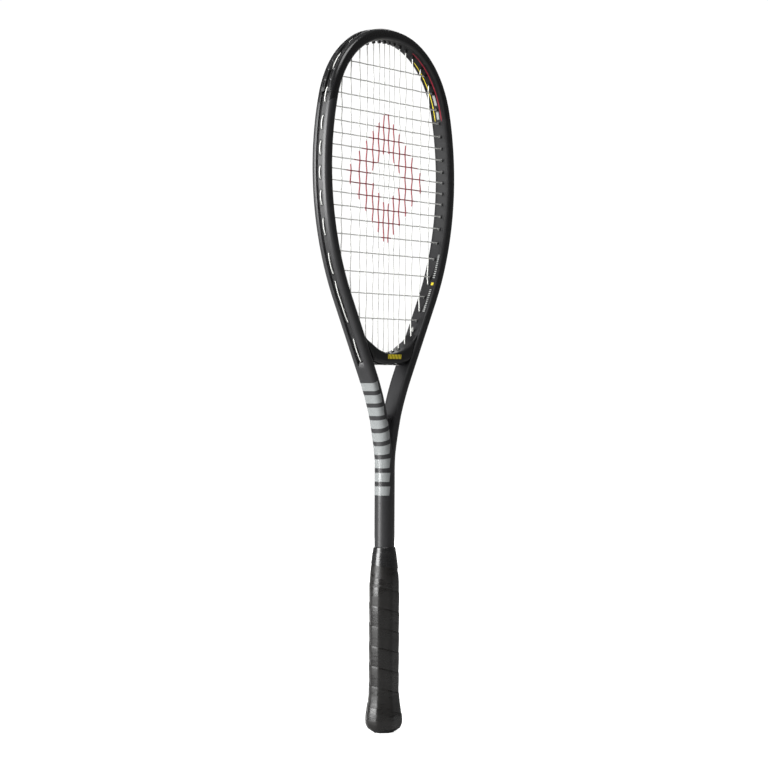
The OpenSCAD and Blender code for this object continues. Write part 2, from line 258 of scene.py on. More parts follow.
def along_where(test, low, high):
    """The distance along the hoop at which test changes from True to False, by halving."""
    for _ in range(40):
        middle = (low + high) / 2
        if test(middle):
            low = middle
        else:
            high = middle
    return (low + high) / 2


WIDEST = along_where(lambda a: hoop_at(a)[1] < 90, 0, HOOP_LEN)
ARM_TOTAL = HOOP_LEN + ARM_LEN


def top_hole(x):
    return along_where(lambda a: hoop_point(a, -HALF, 0).x < x, 0, WIDEST)


def low_hole(x):
    return along_where(lambda a: hoop_point(a, -HALF, 0).x > x, WIDEST, ARM_TOTAL)


def side_hole(z):
    return along_where(lambda a: hoop_point(a, -HALF, 0).z > z, 0, ARM_TOTAL)


def arm_inner_x(z):
    along = along_where(lambda a: hoop_point(a, -HALF, 0).z > z, WIDEST, ARM_TOTAL + 60)
    return hoop_point(along, -HALF, 0).x


REACH = arm_inner_x(BRIDGE_TOP) * math.cos(math.radians(ARM_LEAN))
BRIDGE_R = REACH / (1 - math.sin(math.radians(ARM_LEAN)))


def bridge_face(x):
    return BRIDGE_TOP + BRIDGE_R - math.sqrt(BRIDGE_R ** 2 - x * x)


# ---------------------------------------------------------------- materials

class Nodes:
    """Short names for the shader nodes that the materials are written with."""

    def __init__(self, name):
        self.material = bpy.data.materials.new(name)
        self.material.use_nodes = True
        self.tree = self.material.node_tree
        self.shader = self.tree.nodes["Principled BSDF"]

    def new(self, kind, **settings):
        node = self.tree.nodes.new(kind)
        for key, value in settings.items():
            setattr(node, key, value)
        return node

    def put(self, socket, value):
        if isinstance(value, bpy.types.NodeSocket):
            self.tree.links.new(value, socket)
        elif isinstance(value, (tuple, list)) and len(value) == 3 and socket.type == "RGBA":
            socket.default_value = (*value, 1)
        else:
            socket.default_value = value

    def math(self, operation, a, b=0.0, clamp=False):
        node = self.new("ShaderNodeMath", operation=operation, use_clamp=clamp)
        self.put(node.inputs[0], a)
        self.put(node.inputs[1], b)
        return node.outputs[0]

    def step(self, low, high, value):
        """0 below low, 1 above high, smooth between."""
        node = self.new("ShaderNodeMapRange", interpolation_type="SMOOTHSTEP")
        self.put(node.inputs["Value"], value)
        self.put(node.inputs["From Min"], low)
        self.put(node.inputs["From Max"], high)
        return node.outputs["Result"]

    def band(self, low, high, value, soft=0.25):
        """1 between low and high, 0 outside."""
        rise = self.step(low - soft, low + soft, value)
        fall = self.step(high - soft, high + soft, value)
        return self.math("SUBTRACT", rise, fall, clamp=True)

    def both(self, a, b):
        return self.math("MULTIPLY", a, b)

    def either(self, *masks):
        out = masks[0]
        for mask in masks[1:]:
            out = self.math("MAXIMUM", out, mask)
        return out

    def mix(self, mask, a, b):
        node = self.new("ShaderNodeMix", data_type="RGBA")
        self.put(node.inputs["Factor"], mask)
        self.put(node.inputs[6], a)
        self.put(node.inputs[7], b)
        return node.outputs[2]

    def ramp(self, mask, a, b):
        """A number that goes from a to b as mask goes from 0 to 1."""
        node = self.new("ShaderNodeMapRange")
        self.put(node.inputs["Value"], mask)
        self.put(node.inputs["To Min"], a)
        self.put(node.inputs["To Max"], b)
        return node.outputs["Result"]

    def in_mm(self, vector):
        """A vector in millimetres instead of metres: whole, and as its x, y and z."""
        scale = self.new("ShaderNodeVectorMath", operation="SCALE")
        self.put(scale.inputs[0], vector)
        scale.inputs["Scale"].default_value = 1 / MM
        split = self.new("ShaderNodeSeparateXYZ")
        self.put(split.inputs[0], scale.outputs[0])
        return scale.outputs[0], split.outputs

    def object_mm(self):
        """Object coordinates as x, y and z; the whole vector stays in self.place."""
        self.place, parts = self.in_mm(self.new("ShaderNodeTexCoord").outputs["Object"])
        return parts

    def uv_mm(self):
        """The two UV coordinates in millimetres."""
        parts = self.in_mm(self.new("ShaderNodeUVMap", uv_map="UVMap").outputs[0])[1]
        return parts[0], parts[1]

    def noise(self, vector, scale, detail=3.0, rough=0.5):
        node = self.new("ShaderNodeTexNoise")
        self.put(node.inputs["Vector"], vector)
        node.inputs["Scale"].default_value = scale
        node.inputs["Detail"].default_value = detail
        node.inputs["Roughness"].default_value = rough
        return node.outputs["Fac"]

    def bump(self, *heights):
        """Bumps from (height socket, distance in mm, strength), one over the other."""
        last = None
        for height, distance, strength in heights:
            node = self.new("ShaderNodeBump")
            node.inputs["Strength"].default_value = strength
            node.inputs["Distance"].default_value = distance * MM
            self.put(node.inputs["Height"], height)
            if last is not None:
                self.put(node.inputs["Normal"], last)
            last = node.outputs[0]
        self.put(self.shader.inputs["Normal"], last)

    def finish(self, color, roughness, metallic=0.0, specular=0.5, coat=0.0, coat_rough=0.1):
        inputs = self.shader.inputs
        self.put(inputs["Base Color"], color)
        self.put(inputs["Roughness"], roughness)
        inputs["Metallic"].default_value = metallic
        inputs["Specular IOR Level"].default_value = specular
        inputs["Coat Weight"].default_value = coat
        inputs["Coat Roughness"].default_value = coat_rough
        return self.material


CHARCOAL = (0.018, 0.018, 0.019)
BLACK = (0.004, 0.004, 0.0045)
SILVER = (0.28, 0.294, 0.294)
RED = (0.30, 0.012, 0.03)
YELLOW = (0.74, 0.60, 0.03)
PALE = (0.55, 0.56, 0.55)

# Marks on the frame, as distances from the tip along the centre line
BLACK_TIP = 128.0
BARS_FROM, BARS_TO, BAR_PITCH = 411.0, 531.0, 13.3
TICK_PITCH = 2.3
# The lozenge on the strings: half its width, half its height and its middle's height
LOZENGE_X, LOZENGE_Z, LOZENGE_MID = 68.0, 66.0, 541.0


def frame_paint(name, specular, coat, duller):
    n = Nodes(name)
    n.object_mm()
    u, v = n.uv_mm()
    length = n.math("ABSOLUTE", u)
    around = n.math("ABSOLUTE", v)
    fine = n.noise(n.place, 1.6, 5.0, 0.7)
    cloud = n.noise(n.place, 0.035, 2.0)
    charcoal = n.mix(n.ramp(fine, 0.2, 0.8), CHARCOAL, (0.029, 0.029, 0.030))
    charcoal = n.mix(n.ramp(cloud, 0.0, 0.5), charcoal, (0.014, 0.014, 0.016))
    color = charcoal
    # Black tip with a slanted edge and darker paint down the inner edges; the hoop's inside is also darker
    # over most of its length
    slanted = n.math("SUBTRACT", length, n.math("MULTIPLY", n.step(13.0, 27.0, around), 9.0))
    black_tip = n.math("SUBTRACT", 1.0, n.step(BLACK_TIP, BLACK_TIP + 0.8, slanted))
    front_edge = n.both(n.band(8.0, 14.6, around, 0.9), n.math("SUBTRACT", 1.0, n.step(402, 430, length)))
    inside = n.math("SUBTRACT", 1.0, n.step(10.5, 12.5, around))
    upper = n.both(inside, n.math("SUBTRACT", 1.0, n.step(300, 360, length)))
    dark = n.either(black_tip, n.math("MULTIPLY", front_edge, 0.45), n.math("MULTIPLY", upper, 0.6))
    color = n.mix(dark, color, BLACK)
    # Pinstripes and pale blocks along the inner face, inside the black
    red = n.both(n.band(-4.4, -3.2, v), n.band(42, 129, length, 2.0))
    yellow = n.both(n.band(3.4, 4.15, v), n.band(58, 129, length, 2.0))
    blocks = n.either(n.band(101, 113, length, 0.5), n.band(117, 128, length, 0.5))
    block = n.both(n.band(-1.6, 1.2, v), blocks)
    color = n.mix(n.math("MULTIPLY", red, 0.85), color, RED)
    color = n.mix(yellow, color, YELLOW)
    color = n.mix(n.math("MULTIPLY", block, 0.55), color, PALE)
    # Silver bars on the outward side of the arms and shaft, further round on the left one
    edge = n.ramp(n.step(-1.0, 1.0, u), 13.2, 20.5)
    beat = n.math("FRACT", n.math("DIVIDE", n.math("SUBTRACT", length, BARS_FROM), BAR_PITCH))
    edge = n.math("ADD", edge, n.math("MULTIPLY", beat, 1.6))
    outer = n.step(-0.3, 0.3, n.math("SUBTRACT", around, edge))
    bars = n.both(n.band(0.04, 0.70, beat, 0.02), n.band(BARS_FROM, BARS_TO, length, 0.4))
    silver = n.both(outer, bars)
    worn = n.ramp(n.noise(n.place, 0.5, 4.0, 0.65), 0.80, 1.0)
    color = n.mix(n.both(silver, worn), color, SILVER)
    # Small plain ticks and a dot on the inner face
    ticks = n.band(0.15, 0.68, n.math("FRACT", n.math("DIVIDE", length, TICK_PITCH)), 0.04)
    ticks = n.both(n.band(-5.6, -3.4, v), ticks)
    ticks = n.both(ticks, n.either(n.band(270, 297, length), n.band(309, 335, length)))
    dot = n.both(n.band(-6.0, -3.2, v, 0.4), n.band(301, 304.2, length, 0.4))
    color = n.mix(n.math("MULTIPLY", ticks, 0.6), color, PALE)
    color = n.mix(n.math("MULTIPLY", dot, 0.8), color, YELLOW)
    gloss = n.ramp(n.either(n.both(black_tip, n.step(9.0, 13.0, around)), silver), 0.385, 0.26)
    rough = n.math("ADD", gloss, n.ramp(fine, duller - 0.05, duller + 0.07))
    ply = n.new("ShaderNodeTexWave", wave_type="BANDS", bands_direction="DIAGONAL")
    n.put(ply.inputs["Vector"], n.place)
    ply.inputs["Scale"].default_value = 0.35
    ply.inputs["Distortion"].default_value = 1.5
    n.bump((fine, 0.03, 0.35), (ply.outputs["Fac"], 0.02, 0.2))
    return n.finish(color, rough, specular=specular, coat=coat, coat_rough=0.22)


def bridge_paint():
    n = Nodes("bridge_paint")
    x, y, z = n.object_mm()
    fine = n.noise(n.place, 1.6, 5.0, 0.7)
    front = n.math("SUBTRACT", 1.0, n.step(-8.4, -8.0, y))
    bar = n.both(n.both(front, n.band(-8.0, 14.5, x, 0.3)), n.band(364.6, 368.9, z, 0.3))
    # Slanted gaps cut the bar into blocks
    slant = n.math("ADD", x, n.math("MULTIPLY", z, 0.4))
    gap = n.band(0.0, 0.14, n.math("FRACT", n.math("DIVIDE", slant, 5.0)), 0.02)
    bar = n.both(bar, n.math("SUBTRACT", 1.0, gap))
    color = n.mix(n.ramp(fine, 0, 0.6), BLACK, (0.012, 0.012, 0.013))
    color = n.mix(bar, color, YELLOW)
    n.bump((fine, 0.03, 0.35))
    return n.finish(color, n.ramp(fine, 0.44, 0.58), specular=0.3, coat=0.05, coat_rough=0.25)


def moulded_black(name, rough, grain, coat=0.0):
    n = Nodes(name)
    n.object_mm()
    fine = n.noise(n.place, grain, 4.0, 0.6)
    scuff = n.noise(n.place, 0.12, 4.0, 0.7)
    color = n.mix(n.ramp(scuff, 0.0, 0.7), (0.005, 0.005, 0.0055), (0.016, 0.016, 0.017))
    n.bump((fine, 0.04, 0.3))
    return n.finish(color, n.ramp(scuff, rough - 0.08, rough + 0.12), coat=coat, coat_rough=0.12)


def string_material():
    n = Nodes("string_multifilament")
    x, _, z = n.object_mm()
    twist = n.new("ShaderNodeTexWave", wave_type="BANDS", bands_direction="DIAGONAL")
    n.put(twist.inputs["Vector"], n.place)
    twist.inputs["Scale"].default_value = 1.1
    fibre = n.noise(n.place, 2.2, 3.0)
    color = n.mix(n.ramp(fibre, 0.1, 0.9), (0.66, 0.67, 0.64), (0.84, 0.84, 0.81))
    # A plain hollow lozenge, stencilled across the middle of the bed
    across = n.math("DIVIDE", n.math("ABSOLUTE", x), LOZENGE_X)
    up = n.math("DIVIDE", n.math("ABSOLUTE", n.math("SUBTRACT", z, LOZENGE_MID)), LOZENGE_Z)
    reach = n.math("ADD", across, up)
    ring = n.band(0.42, 1.0, reach, 0.006)
    speckle = n.ramp(n.noise(n.place, 0.9, 4.0, 0.7), 0.75, 1.35)
    ink = n.math("MULTIPLY", ring, speckle, clamp=True)
    color = n.mix(ink, color, (0.29, 0.003, 0.014))
    n.bump((twist.outputs["Fac"], 0.03, 0.3))
    return n.finish(color, n.ramp(fibre, 0.28, 0.42), specular=0.5, coat=0.2, coat_rough=0.2)


def grip_material():
    n = Nodes("grip_synthetic")
    n.object_mm()
    pores = n.new("ShaderNodeTexVoronoi")
    n.put(pores.inputs["Vector"], n.place)
    pores.inputs["Scale"].default_value = 1.5
    grain = n.noise(n.place, 1.2, 6.0, 0.65)
    flat = n.new("ShaderNodeMapping", vector_type="POINT")
    n.put(flat.inputs["Vector"], n.place)
    flat.inputs["Scale"].default_value = (0.35, 0.35, 1.6)
    wear = n.noise(flat.outputs["Vector"], 0.11, 5.0, 0.7)
    color = n.mix(n.ramp(wear, 0.0, 0.9), (0.0040, 0.0037, 0.0035), (0.0125, 0.0114, 0.0104))
    color = n.mix(n.ramp(grain, 0.0, 0.35), color, (0.018, 0.0165, 0.015))
    rough = n.math("ADD", n.ramp(n.step(0.38, 0.62, wear), 0.21, 0.46), n.ramp(grain, -0.05, 0.06))
    n.bump((pores.outputs["Distance"], 0.06, 0.35), (grain, 0.08, 0.45), (wear, 0.3, 0.25))
    n.shader.inputs["Sheen Weight"].default_value = 0.02
    return n.finish(color, rough, specular=0.42)


def tape_material():
    n = Nodes("tape_vinyl")
    n.object_mm()
    wrinkle = n.noise(n.place, 0.22, 4.0, 0.6)
    fine = n.noise(n.place, 2.0, 3.0)
    color = n.mix(n.ramp(wrinkle, 0, 0.5), (0.006, 0.006, 0.0065), (0.013, 0.013, 0.013))
    n.bump((wrinkle, 0.25, 0.35), (fine, 0.02, 0.2))
    return n.finish(color, n.ramp(wrinkle, 0.20, 0.36), specular=0.5, coat=0.35, coat_rough=0.16)


def foam_material():
    n = Nodes("pallet_foam")
    n.object_mm()
    cells = n.noise(n.place, 0.9, 5.0, 0.7)
    color = n.mix(cells, (0.50, 0.46, 0.34), (0.66, 0.62, 0.50))
    n.bump((cells, 0.1, 0.5))
    return n.finish(color, n.ramp(cells, 0.7, 0.85))


def steel_material():
    n = Nodes("staple_wire")
    n.object_mm()
    brush = n.noise(n.place, 2.5, 4.0)
    color = n.mix(brush, (0.50, 0.50, 0.52), (0.66, 0.66, 0.68))
    n.bump((brush, 0.02, 0.3))
    return n.finish(color, n.ramp(brush, 0.25, 0.4), metallic=1.0)


FRAME_PAINT = frame_paint("frame_paint", 0.42, 0.12, 0.0)
FRAME_INSIDE = frame_paint("frame_inside_paint", 0.21, 0.0, 0.17)
BRIDGE_PAINT = bridge_paint()
GUARD_BLACK = moulded_black("guard_nylon", 0.42, 1.2, coat=0.05)
GROMMET_BLACK = moulded_black("grommet_nylon", 0.45, 1.6)
BUTT_BLACK = moulded_black("butt_plastic", 0.5, 1.0)
BADGE_GREY = moulded_black("badge_plastic", 0.3, 1.5, coat=0.2)
STRING = string_material()
GRIP = grip_material()
TAPE = tape_material()
FOAM = foam_material()
STEEL = steel_material()


# ---------------------------------------------------------------- frame: hoop, arms and shaft

# Index of the section's point at the bottom of the groove, halfway from front corner to back corner
MIDDLE = 16


def section(inner, outer, depth, outer_round, inner_round, groove, merged, web=None):
    """Points round the frame's section, from the inner front corner to the inner back one.

    Each point is (share of the way outwards, y). web is (how far the arm's own inner face lies
    outwards, the web's half thickness, how much of it shows).
    """
    width = (outer - inner).length
    rx, ry = outer_round
    ix, iy = inner_round
    points = []
    for k in range(5):
        a = math.radians(22.5 * k)
        points.append((ix - ix * math.cos(a), -(depth - iy) - iy * math.sin(a)))
    for k in (1, 2):
        points.append((lerp(ix, width - rx, k / 3), -depth))
    wall = depth - iy
    if web:
        face, thick, share = web
        turn = [math.radians(30 * k) for k in range(4)]
        shaped = [(0, -thick), (0.6 * face, -thick - 0.04 * (wall - thick)),
                  (0.95 * face, -lerp(thick, wall, 0.3))]
        shaped += [(face + ix - ix * math.cos(a), -wall - iy * math.sin(a)) for a in turn]
        points = [(lerp(p, q, share), lerp(y, z, share)) for (p, y), (q, z) in zip(points, shaped)]
        wall = lerp(wall, thick, share)
    for k in range(6):
        a = math.radians(18 * k)
        points.append((width - rx + rx * math.sin(a), -(depth - ry) - ry * math.cos(a)))
    g = GROOVE_W / 2
    open_by = min(1.0, groove / 1.0)
    lip = 0.35 * open_by
    for y, deep in ((g + 0.4, 0), (g, lip), (g - 0.25 * open_by, groove)):
        y = min(y, depth - ry - 0.02)
        points.append((width - deep, -y))
    points.append((width - groove, 0))
    back = [(p, -y) for p, y in reversed(points[:-1])]
    points += back
    if not merged:
        points += [(0.0, wall * k) for k in (0.5, 0.0, -0.5)]
    return [(p / width if width else 0, y) for p, y in points]


class Station:
    def __init__(self, inner, outer, along, depth=BEAM_D / 2, outer_round=None, inner_round=None,
                 groove=0.0, merged=False, web=None):
        self.inner, self.outer, self.along = inner, outer, along
        self.merged = merged
        outer_round = outer_round or (BEAM_CORNER, BEAM_CORNER)
        inner_round = inner_round or (BEAM_CORNER, BEAM_CORNER)
        self.points = section(inner, outer, depth, outer_round, inner_round, groove, merged, web)

    def ring(self, side):
        out = []
        for share, y in self.points:
            p = self.inner + (self.outer - self.inner) * share
            out.append(Vector((side * max(p.x, 0.0), y, p.y)))
        return out


def frame_stations():
    stations = []
    # Hoop and straight arm, with the groove running out near the end of the arm
    along = 0.0
    while along < ARM_TOTAL - 0.1:
        p, t = hoop_at(along)
        past = along - HOOP_LEN
        groove = GROOVE_DEEP * (1 - between(GROOVE_END - GROOVE_RAMP, GROOVE_END, past))
        stations.append(Station(p - HALF * normal(t), p + HALF * normal(t), along, groove=groove))
        along += 2.4 if along < HOOP_LEN else 3.0
    # The arm bends towards the shaft; its corners start to round off
    middle_r = BLEND_R + HALF

    def blend_outer(lean):
        # The last part swells by the 0.3 mm that the shaft is wider
        swell = 0.3 * (1 - between(0, 12, lean))
        a = math.radians(lean)
        return BLEND_C + BLEND_R * Vector((-math.cos(a), math.sin(a))) + Vector((swell, 0))

    def arm_face(lean):
        # How far from the middle the arm's own inner face would be
        return BLEND_C.x - INNER_R * math.cos(math.radians(lean))

    def rounding(lean, width):
        # From the beam's corner radius to a half circle
        t = 1 - smooth(lean / ARM_LEAN)
        return lerp(BEAM_CORNER, width, t), lerp(BEAM_CORNER, SHAFT_R, t)

    def depth_at(lean):
        return lerp(SHAFT_R, BEAM_D / 2, smooth(lean / ARM_LEAN))

    steps = 7
    for i in range(steps + 1):
        lean = lerp(ARM_LEAN, CROTCH_LEAN, i / steps)
        a = math.radians(lean)
        outer = blend_outer(lean)
        inner = BLEND_C + INNER_R * Vector((-math.cos(a), math.sin(a)))
        past = ARM_TOTAL + middle_r * math.radians(ARM_LEAN - lean)
        stations.append(Station(inner, outer, past, depth_at(lean), rounding(lean, BEAM_T)))
    # Round the crotch: the inner side follows the fillet down to the middle
    steps = 8
    fillet_from, low_lean = 90 - CROTCH_LEAN, CROTCH_LEAN - 3.2
    for i in range(1, steps + 1):
        # In the middle of its depth the web turns round the crotch.
        # In front and behind, the arm keeps its shape.
        a = math.radians(lerp(fillet_from, 0, i / steps))
        inner = CROTCH_C + CROTCH_R * Vector((math.sin(a), -math.cos(a)))
        lean = lerp(CROTCH_LEAN, low_lean, i / steps)
        outer = blend_outer(lean)
        past = ARM_TOTAL + middle_r * math.radians(ARM_LEAN - lean)
        width = (outer - inner).length
        face = max(0.0, width - BEAM_T)
        web = (face, lerp(BEAM_D / 2 - BEAM_CORNER, WEB_T, i / steps), smooth(1.6 * i / steps))
        rx, ry = rounding(lean, BEAM_T)
        rx = min(rx, width - face - BEAM_CORNER - 0.3)
        stations.append(Station(inner, outer, past, depth_at(lean), (rx, ry), web=web))
    # Below the crotch the valley between the two arms grows shallow and fades out
    crotch_z = CROTCH_C.y - CROTCH_R
    first_face = face
    steps = 24
    for i in range(1, steps + 1):
        t = i / steps
        lean = lerp(low_lean, 0, t)
        inner = Vector((0, lerp(crotch_z, BLEND_C.y, t)))
        outer = blend_outer(lean)
        past = ARM_TOTAL + middle_r * math.radians(ARM_LEAN - lean)
        width = (outer - inner).length
        depth = depth_at(lean)
        corner = BEAM_CORNER * (1 - smooth((t - 0.15) / 0.7)) + 0.01
        face = first_face * max(0.0, arm_face(lean)) / arm_face(low_lean)
        thick = min(depth - corner, max(WEB_T, depth - 0.3 - 1.45 * face))
        rx, ry = rounding(lean, width)
        rx = min(rx, width - face - corner - 0.02)
        stations.append(Station(inner, outer, past, depth, (rx, ry), (corner, corner), merged=True,
                                web=(face, thick, 1.0)))
    # The round shaft, down into the handle
    z = BLEND_C.y
    while z > SHAFT_END:
        z = max(SHAFT_END, z - 8)
        along = ARM_TOTAL + middle_r * math.radians(ARM_LEAN) + BLEND_C.y - z
        stations.append(Station(Vector((0, z)), Vector((SHAFT_R, z)), along, SHAFT_R,
                                (SHAFT_R - 0.03, SHAFT_R - 0.03), (0.01, 0.01), merged=True))
    return stations


def around_values(station):
    """Distance round the section from the middle of its inner side.

    It is given twice: negative, for the front half, and positive, for the back half.
    """
    ring = station.ring(1)
    last = 2 * MIDDLE
    first = abs(ring[0].y)
    front = [0.0]
    for k in range(last):
        front.append(front[-1] + (ring[k + 1] - ring[k]).length)
    total = front[-1]
    before = [-(first + d) for d in front]
    after = [first + total - d for d in front]
    if not station.merged:
        before += [ring[k].y for k in range(last + 1, len(ring))]
        after += [ring[k].y for k in range(last + 1, len(ring))]
    return before, after


def build_frame():
    stations = frame_stations()
    verts, faces, uvs = [], [], []
    for side in (1, -1):
        starts = []
        values = []
        for station in stations:
            starts.append(len(verts))
            verts += station.ring(side)
            values.append(around_values(station))
        for i in range(len(stations) - 1):
            there = stations[i + 1]
            count = len(there.points)
            for k in range(count - 1 if there.merged else count):
                up = (k + 1) % count
                which = 0 if k < MIDDLE or k > 2 * MIDDLE else 1
                face = [(i, k), (i + 1, k), (i + 1, up), (i, up)]
                if side < 0:
                    face.reverse()
                faces.append(tuple(starts[s] + p for s, p in face))
                uvs.append([(side * stations[s].along * MM, values[s][which][p] * MM) for s, p in face])
    piece = mesh_piece("frame_body", verts, faces, FRAME_PAINT, "frame_tube", "frame", uvs, smooth_angle=38)
    # The side that looks into the hoop and the throat has a more matt finish
    inside_half, inside_end = 7 * MM, 478 * MM
    piece.data.materials.append(FRAME_INSIDE)
    layer = piece.data.uv_layers["UVMap"].data
    for polygon in piece.data.polygons:
        along, around = (sum(layer[i].uv[axis] for i in polygon.loop_indices) / len(polygon.loop_indices)
                         for axis in (0, 1))
        if abs(around) < inside_half and abs(along) < inside_end:
            polygon.material_index = 1
    return piece


build_frame()


# ---------------------------------------------------------------- bridge

def build_bridge():
    reach = arm_inner_x(BRIDGE_ENDS) - 0.6
    rings = []
    steps = 60
    for i in range(steps + 1):
        x = lerp(-reach, reach, i / steps)
        top = bridge_face(x)
        edge = arm_inner_x(BRIDGE_BOTTOM)
        # The underside is lowest in the middle; beyond the arms' inner faces it follows inside them
        low = BRIDGE_BOTTOM + 3.2 * min(1.0, abs(x) / edge) ** 2.5
        if abs(x) > edge:
            low = lerp(BRIDGE_BOTTOM + 3.2, bridge_face(reach) - 4, (abs(x) - edge) / (reach - edge))
        sink = between(edge, reach, abs(x))
        top -= 1.0 * sink
        depth = BEAM_D / 2 - 0.5 - 2.2 * sink
        r = min(3.2, (top - low) / 2 - 0.05)
        points = []
        for start, y_side, z_side in ((0, 1, 1), (90, -1, 1), (180, -1, -1), (270, 1, -1)):
            centre_y = y_side * (depth - r)
            centre_z = top - r if z_side > 0 else low + r
            for k in range(6):
                a = math.radians(start + 18 * k)
                points.append(Vector((x, centre_y + r * math.cos(a), centre_z + r * math.sin(a))))
        rings.append(points)
    return loft_piece(rings, "bridge_shell", BRIDGE_PAINT, "throat_bridge", "bridge")


build_bridge()


# ---------------------------------------------------------------- guard and grommet strips

def sleeve(parts, base, tip, radius=SLEEVE_R):
    """A grommet sleeve: a tube from base to tip, with a rolled lip and an open mouth at the tip."""
    base, tip = Vector(base), Vector(tip)
    along = (tip - base).normalized()
    side = along.cross(Vector((0, 1, 0))).normalized()
    other = along.cross(side)
    length = (tip - base).length
    mouth = STRING_R + 0.1
    profile = [(0, radius), (length - 0.5, radius), (length - 0.15, radius * 0.96),
               (length, radius * 0.82), (length, mouth + 0.08), (length - 0.25, mouth), (length - 1.6, mouth)]
    rings = []
    for height, r in profile:
        turn = [2 * math.pi * k / 14 for k in range(14)]
        rings.append([base + along * height + side * r * math.cos(a) + other * r * math.sin(a) for a in turn])
    parts.loft(rings)


def hole_sleeves(parts, holes, side, proud):
    for along in holes:
        base = hoop_point(along, GROOVE_FLOOR + 0.5, 0, side)
        sleeve(parts, base, hoop_point(along, -HALF - proud(along), 0, side))


TOP_HOLES = [top_hole(x) for x in MAINS]
SIDE_HOLES = [side_hole(z) for z in CROSSES]
LOW_HOLES = [low_hole(x) for x in MAINS[3:]]
GUARD_STOP = TIP_LEN + SHOULDER_R * math.radians(GUARD_END - TIP_END)


def build_guard():
    parts = Parts()
    channel = 1.7
    rail_low, rail_high = 2.3, 5.4

    def guard_section(along):
        """The rails stand higher between their slots, which makes the guard's ridges."""
        beat = (abs(along) % 11.0) / 11.0
        slot = between(0.12, 0.17, beat) * (1 - between(0.80, 0.85, beat))
        end = 1 - between(GUARD_STOP - 7, GUARD_STOP, abs(along))
        top = HALF + GUARD_T * (0.25 + 0.75 * end)
        dip = top - 0.55 * slot * end
        floor = GROOVE_FLOOR + STRIP_T
        half_points = [(floor, channel - 0.2), (top - 0.3, channel), (top, channel + 0.25), (top, rail_low),
                       (dip, rail_low + 0.2), (dip, rail_high - 1.4), (top, rail_high - 1.2),
                       (top, rail_high - 0.3), (top - 0.25, rail_high),
                       (HALF - 0.12, rail_high + 0.15), (HALF - 0.7, rail_high),
                       (GROOVE_FLOOR + 0.1, GROOVE_W / 2 - 0.1)]
        other = [(out, -y) for out, y in reversed(half_points)]
        return half_points + other

    rings = []
    step = 0.55
    count = int(2 * GUARD_STOP / step)
    for i in range(count + 1):
        along = lerp(-GUARD_STOP, GUARD_STOP, i / count)
        side = -1 if along < 0 else 1
        rings.append([hoop_point(abs(along), out, y, side) for out, y in guard_section(along)])
    parts.loft(rings)
    for side in (1, -1):
        holes = TOP_HOLES + [h for h in SIDE_HOLES if h < GUARD_STOP]
        hole_sleeves(parts, holes, side, lambda along: lerp(2.6, 1.2, between(75, 120, along)))
    return mesh_piece("guard_strip", parts.verts, parts.faces, GUARD_BLACK, "bumper_guard", "guard",
                      merge=False, smooth_angle=35)


def build_side_strip(side, name, node):
    parts = Parts()
    stop = HOOP_LEN + GROOVE_END - GROOVE_RAMP - 1
    rings = []
    count = 150
    holes = [h for h in SIDE_HOLES if h >= GUARD_STOP] + LOW_HOLES
    floor, top = GROOVE_FLOOR + 0.06, GROOVE_FLOOR + STRIP_T
    wall = top + 0.75
    edge = GROOVE_W / 2 - 0.12
    points = [(floor, -edge), (wall, -edge), (wall, -edge + 0.5), (top, -edge + 0.7),
              (top, edge - 0.7), (wall, edge - 0.5), (wall, edge), (floor, edge)]
    for i in range(count + 1):
        along = lerp(GUARD_STOP + 1, stop, i / count)
        rings.append([hoop_point(along, out, y, side) for out, y in points])
    parts.loft(rings)
    hole_sleeves(parts, holes, side, lambda along: 1.1)
    # Raised collars that the string's outer runs bend round
    for along in holes:
        base = hoop_point(along, GROOVE_FLOOR + STRIP_T - 0.3, 0, side)
        tip = hoop_point(along, GROOVE_FLOOR + STRIP_T + 0.35, 0, side)
        sleeve(parts, base, tip, radius=1.75)
    return mesh_piece(name, parts.verts, parts.faces, GROMMET_BLACK, node, "grommets", merge=False,
                      smooth_angle=35)


def build_bridge_strip():
    parts = Parts()
    reach = MAINS[2] + 3
    rings = []
    count = 60
    spots = [side * x for x in MAINS[:3] for side in (-1, 1)]
    for i in range(count + 1):
        x = lerp(-reach, reach, i / count)
        near = max(1 - abs(x - spot) / 2.6 for spot in spots)
        swell = 0.55 * smooth(near)
        low, high, y = BRIDGE_BOTTOM - 0.85 - swell, BRIDGE_BOTTOM + 0.05, 3.0
        points = [(-y, high), (-y, low + 0.4), (-y + 0.4, low), (-1.2, low), (-1.0, low + 0.5),
                  (1.0, low + 0.5), (1.2, low), (y - 0.4, low), (y, low + 0.4), (y, high)]
        rings.append([Vector((x, py, pz)) for py, pz in points])
    parts.loft(rings)
    for spot in spots:
        sleeve(parts, (spot, 0, BRIDGE_BOTTOM - 0.3), (spot, 0, bridge_face(spot) + 0.9))
    return mesh_piece("bridge_strip", parts.verts, parts.faces, GROMMET_BLACK, "bridge_grommet_strip",
                      "grommets", merge=False, smooth_angle=35)


build_guard()
build_side_strip(-1, "side_strip_left", "grommet_strip_left")
build_side_strip(1, "side_strip_right", "grommet_strip_right")
build_bridge_strip()


# ---------------------------------------------------------------- strings

RUN_OUT = GROOVE_FLOOR + STRIP_T + 0.35 + STRING_R
INNER_MOUTH = -HALF - 1.2


def through_hole(along, side):
    """From the bed out through a sleeve to the groove."""
    return [hoop_point(along, out, 0, side) for out in (INNER_MOUTH, -HALF / 2, 0, RUN_OUT - 1.6)]


def groove_run(from_along, to_along, side):
    """The string's outer run between two holes, lifting off one and pressing down by the other."""
    points = []
    for k in range(7):
        t = k / 6
        out = RUN_OUT - 1.1 + 1.1 * math.sin(math.pi * t) ** 0.6
        points.append(hoop_point(lerp(from_along, to_along, t), out, 0, side))
    return points


def crossing_sign(i, j):
    return 1 if (i + j) % 2 == 0 else -1


